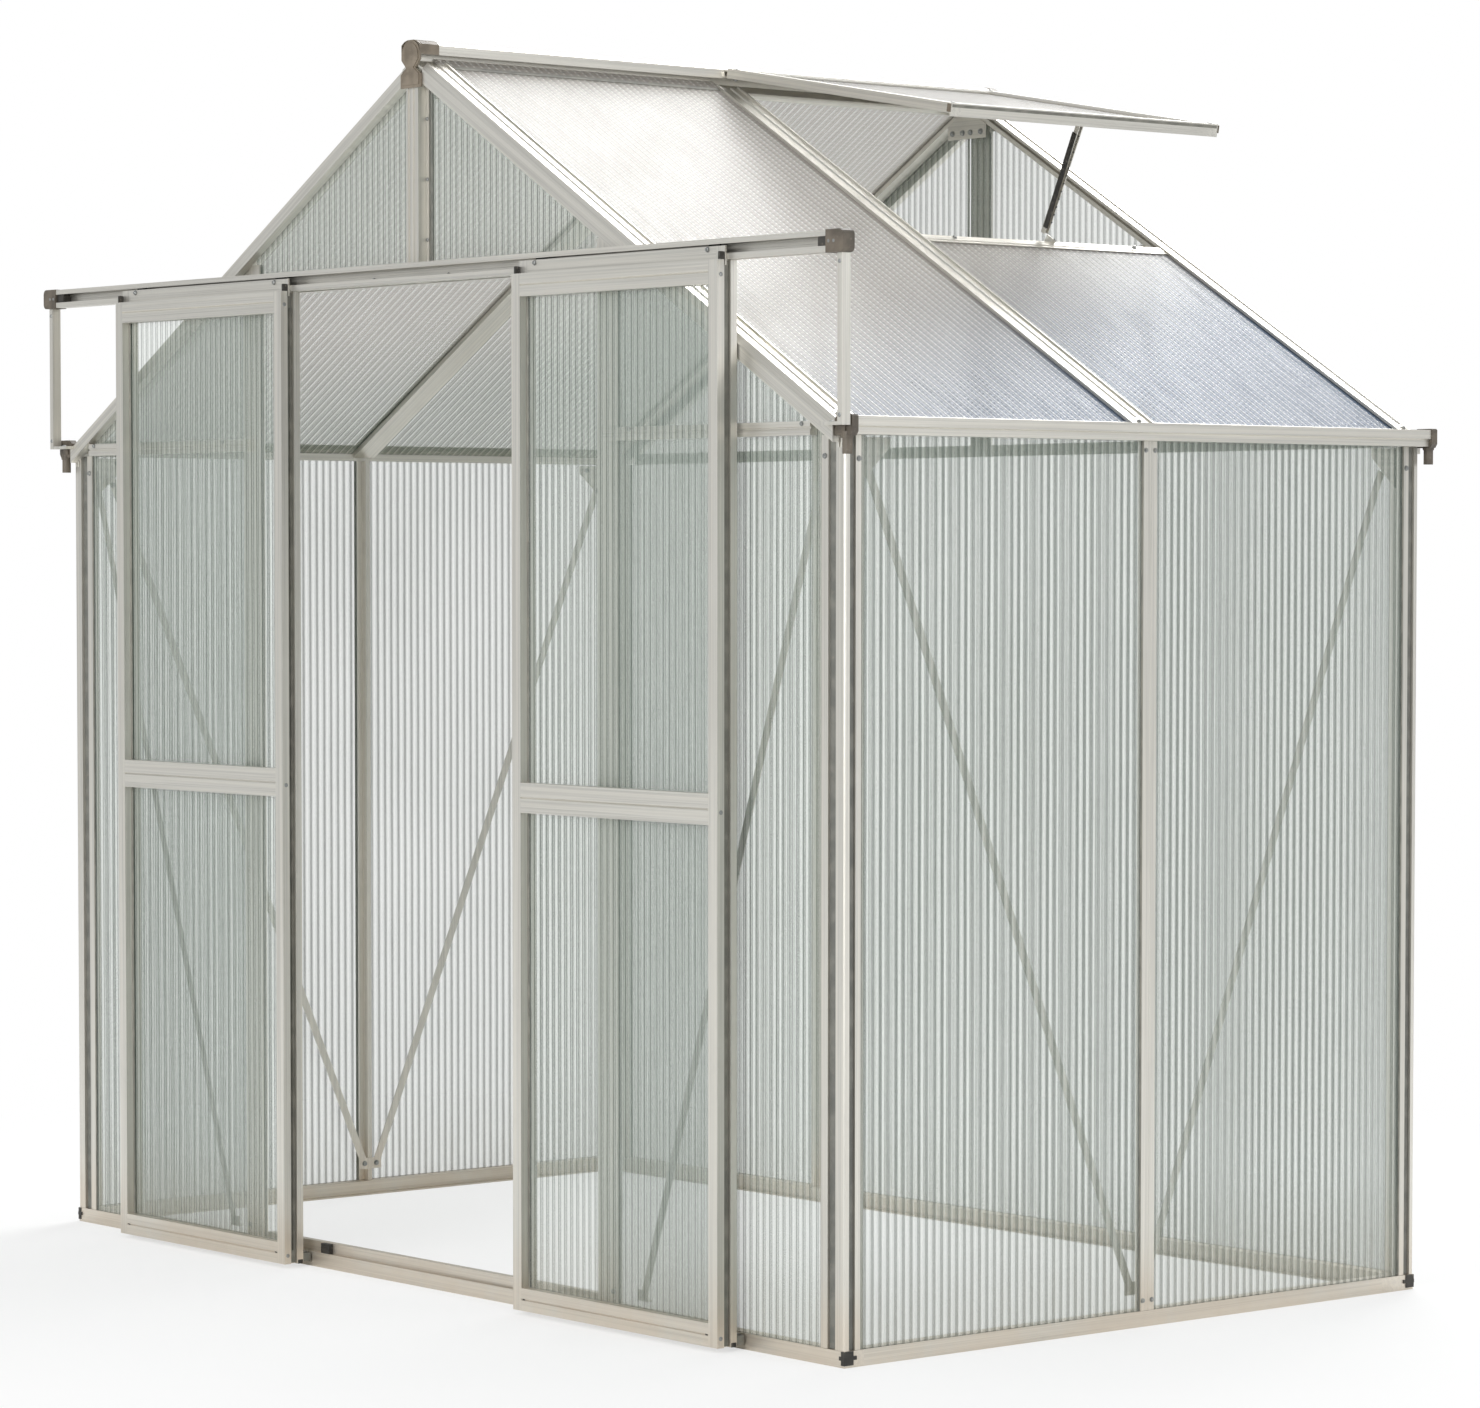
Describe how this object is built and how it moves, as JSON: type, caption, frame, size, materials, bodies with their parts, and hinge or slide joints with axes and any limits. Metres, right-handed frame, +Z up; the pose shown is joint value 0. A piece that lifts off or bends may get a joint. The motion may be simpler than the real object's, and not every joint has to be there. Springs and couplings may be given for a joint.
{
  "type": "small garden greenhouse",
  "caption": "Small aluminium-framed garden greenhouse with clear fluted panes, twin sliding doors on an overhead rail, gutters and a hinged roof vent on a perforated stay.",
  "frame": {"origin": "on the ground, in the middle of the outer box in plan; the footprint's own middle lies 17.5 mm further back because the doors stand out in front", "axes": "+X to the right of someone who faces the doors, +Y towards the back, +Z up"},
  "size_m": [2.126, 1.275, 1.9792],
  "materials": {
    "frame_aluminium": "mill-finish extruded aluminium, warm light grey",
    "moulded_plastic": "dark taupe moulded plastic",
    "clear_sheet": "clear fluted polycarbonate sheet"
  },
  "bodies": {
    "house": {"base_frame": "frame_aluminium", "corner_post_front_left": "frame_aluminium", "corner_post_front_right": "frame_aluminium", "corner_post_back_left": "frame_aluminium", "corner_post_back_right": "frame_aluminium", "side_mullion_left": "frame_aluminium", "side_mullion_right": "frame_aluminium", "door_jamb_left": "frame_aluminium", "door_jamb_right": "frame_aluminium", "king_post_front": "frame_aluminium", "back_gable_frame": "frame_aluminium", "rafter_front_left": "frame_aluminium", "rafter_front_right": "frame_aluminium", "rafter_middle_left": "frame_aluminium", "rafter_middle_right": "frame_aluminium", "rafter_back_left": "frame_aluminium", "rafter_back_right": "frame_aluminium", "ridge_bar": "frame_aluminium", "ridge_cap_front": "moulded_plastic", "ridge_cap_back": "moulded_plastic", "gutter_left": "frame_aluminium", "gutter_right": "frame_aluminium", "gutter_cap_front_left": "moulded_plastic", "gutter_cap_front_right": "moulded_plastic", "gutter_cap_back_left": "moulded_plastic", "gutter_cap_back_right": "moulded_plastic", "door_rail": "frame_aluminium", "door_rail_cap_left": "moulded_plastic", "door_rail_cap_right": "moulded_plastic", "rail_strut_left": "frame_aluminium", "rail_strut_right": "frame_aluminium", "front_pane_left": "clear_sheet", "front_pane_right": "clear_sheet", "gable_pane_left": "clear_sheet", "gable_pane_right": "clear_sheet", "back_pane_left": "clear_sheet", "back_pane_right": "clear_sheet", "back_pane_centre": "clear_sheet", "side_pane_left_front": "clear_sheet", "side_pane_left_back": "clear_sheet", "side_pane_right_front": "clear_sheet", "side_pane_right_back": "clear_sheet", "roof_pane_left_front": "clear_sheet", "roof_pane_left_back": "clear_sheet", "roof_pane_right_front": "clear_sheet", "roof_pane_right_back": "clear_sheet", "vent_sill": "frame_aluminium", "side_brace_left": "frame_aluminium", "side_brace_right": "frame_aluminium"},
    "left_door": {"left_door_frame": "frame_aluminium", "left_door_pane": "clear_sheet"},
    "left_roller_inner": {"left_door_roller_inner": "moulded_plastic"},
    "left_roller_outer": {"left_door_roller_outer": "moulded_plastic"},
    "right_door": {"right_door_frame": "frame_aluminium", "right_door_pane": "clear_sheet"},
    "right_roller_inner": {"right_door_roller_inner": "moulded_plastic"},
    "right_roller_outer": {"right_door_roller_outer": "moulded_plastic"},
    "vent": {"vent_frame": "frame_aluminium", "vent_pane": "clear_sheet"},
    "stay": {"vent_stay": "frame_aluminium"}
  },
  "joints": [
    {"name": "left_door_slide", "type": "slide", "parent": "house", "child": "left_door", "axis": [1, 0, 0], "range_m": [-0.18, 0.3095]},
    {"name": "right_door_slide", "type": "slide", "parent": "house", "child": "right_door", "axis": [1, 0, 0], "range_m": [-0.3095, 0.18]},
    {"name": "left_roller_inner_spin", "type": "hinge", "parent": "left_door", "child": "left_roller_inner", "pos_m": [-0.35, -0.60875, 1.6125], "axis": [0, 1, 0], "range_deg": [-790, 1350]},
    {"name": "left_roller_outer_spin", "type": "hinge", "parent": "left_door", "child": "left_roller_outer", "pos_m": [-0.765, -0.60875, 1.6125], "axis": [0, 1, 0], "range_deg": [-790, 1350]},
    {"name": "right_roller_inner_spin", "type": "hinge", "parent": "right_door", "child": "right_roller_inner", "pos_m": [0.35, -0.60875, 1.6125], "axis": [0, 1, 0], "range_deg": [-1350, 790]},
    {"name": "right_roller_outer_spin", "type": "hinge", "parent": "right_door", "child": "right_roller_outer", "pos_m": [0.765, -0.60875, 1.6125], "axis": [0, 1, 0], "range_deg": [-1350, 790]},
    {"name": "vent_hinge", "type": "hinge", "parent": "house", "child": "vent", "pos_m": [0.016, 0.3215, 1.96662], "axis": [0, -1, 0], "range_deg": [-20.6, 0]},
    {"name": "stay_hinge", "type": "hinge", "parent": "vent", "child": "stay", "pos_m": [0.55027, 0.3305, 1.86368], "axis": [0, -1, 0], "range_deg": [-74.5, 0]}
  ],
  "couplings": [
    {"joint": "left_roller_inner_spin", "follows": "left_door_slide", "rad_per_m": 75.758},
    {"joint": "left_roller_outer_spin", "follows": "left_door_slide", "rad_per_m": 75.758},
    {"joint": "right_roller_inner_spin", "follows": "right_door_slide", "rad_per_m": 75.758},
    {"joint": "right_roller_outer_spin", "follows": "right_door_slide", "rad_per_m": 75.758},
    {"joint": "stay_hinge", "follows": "vent_hinge", "ratio": 3.5825}
  ]
}
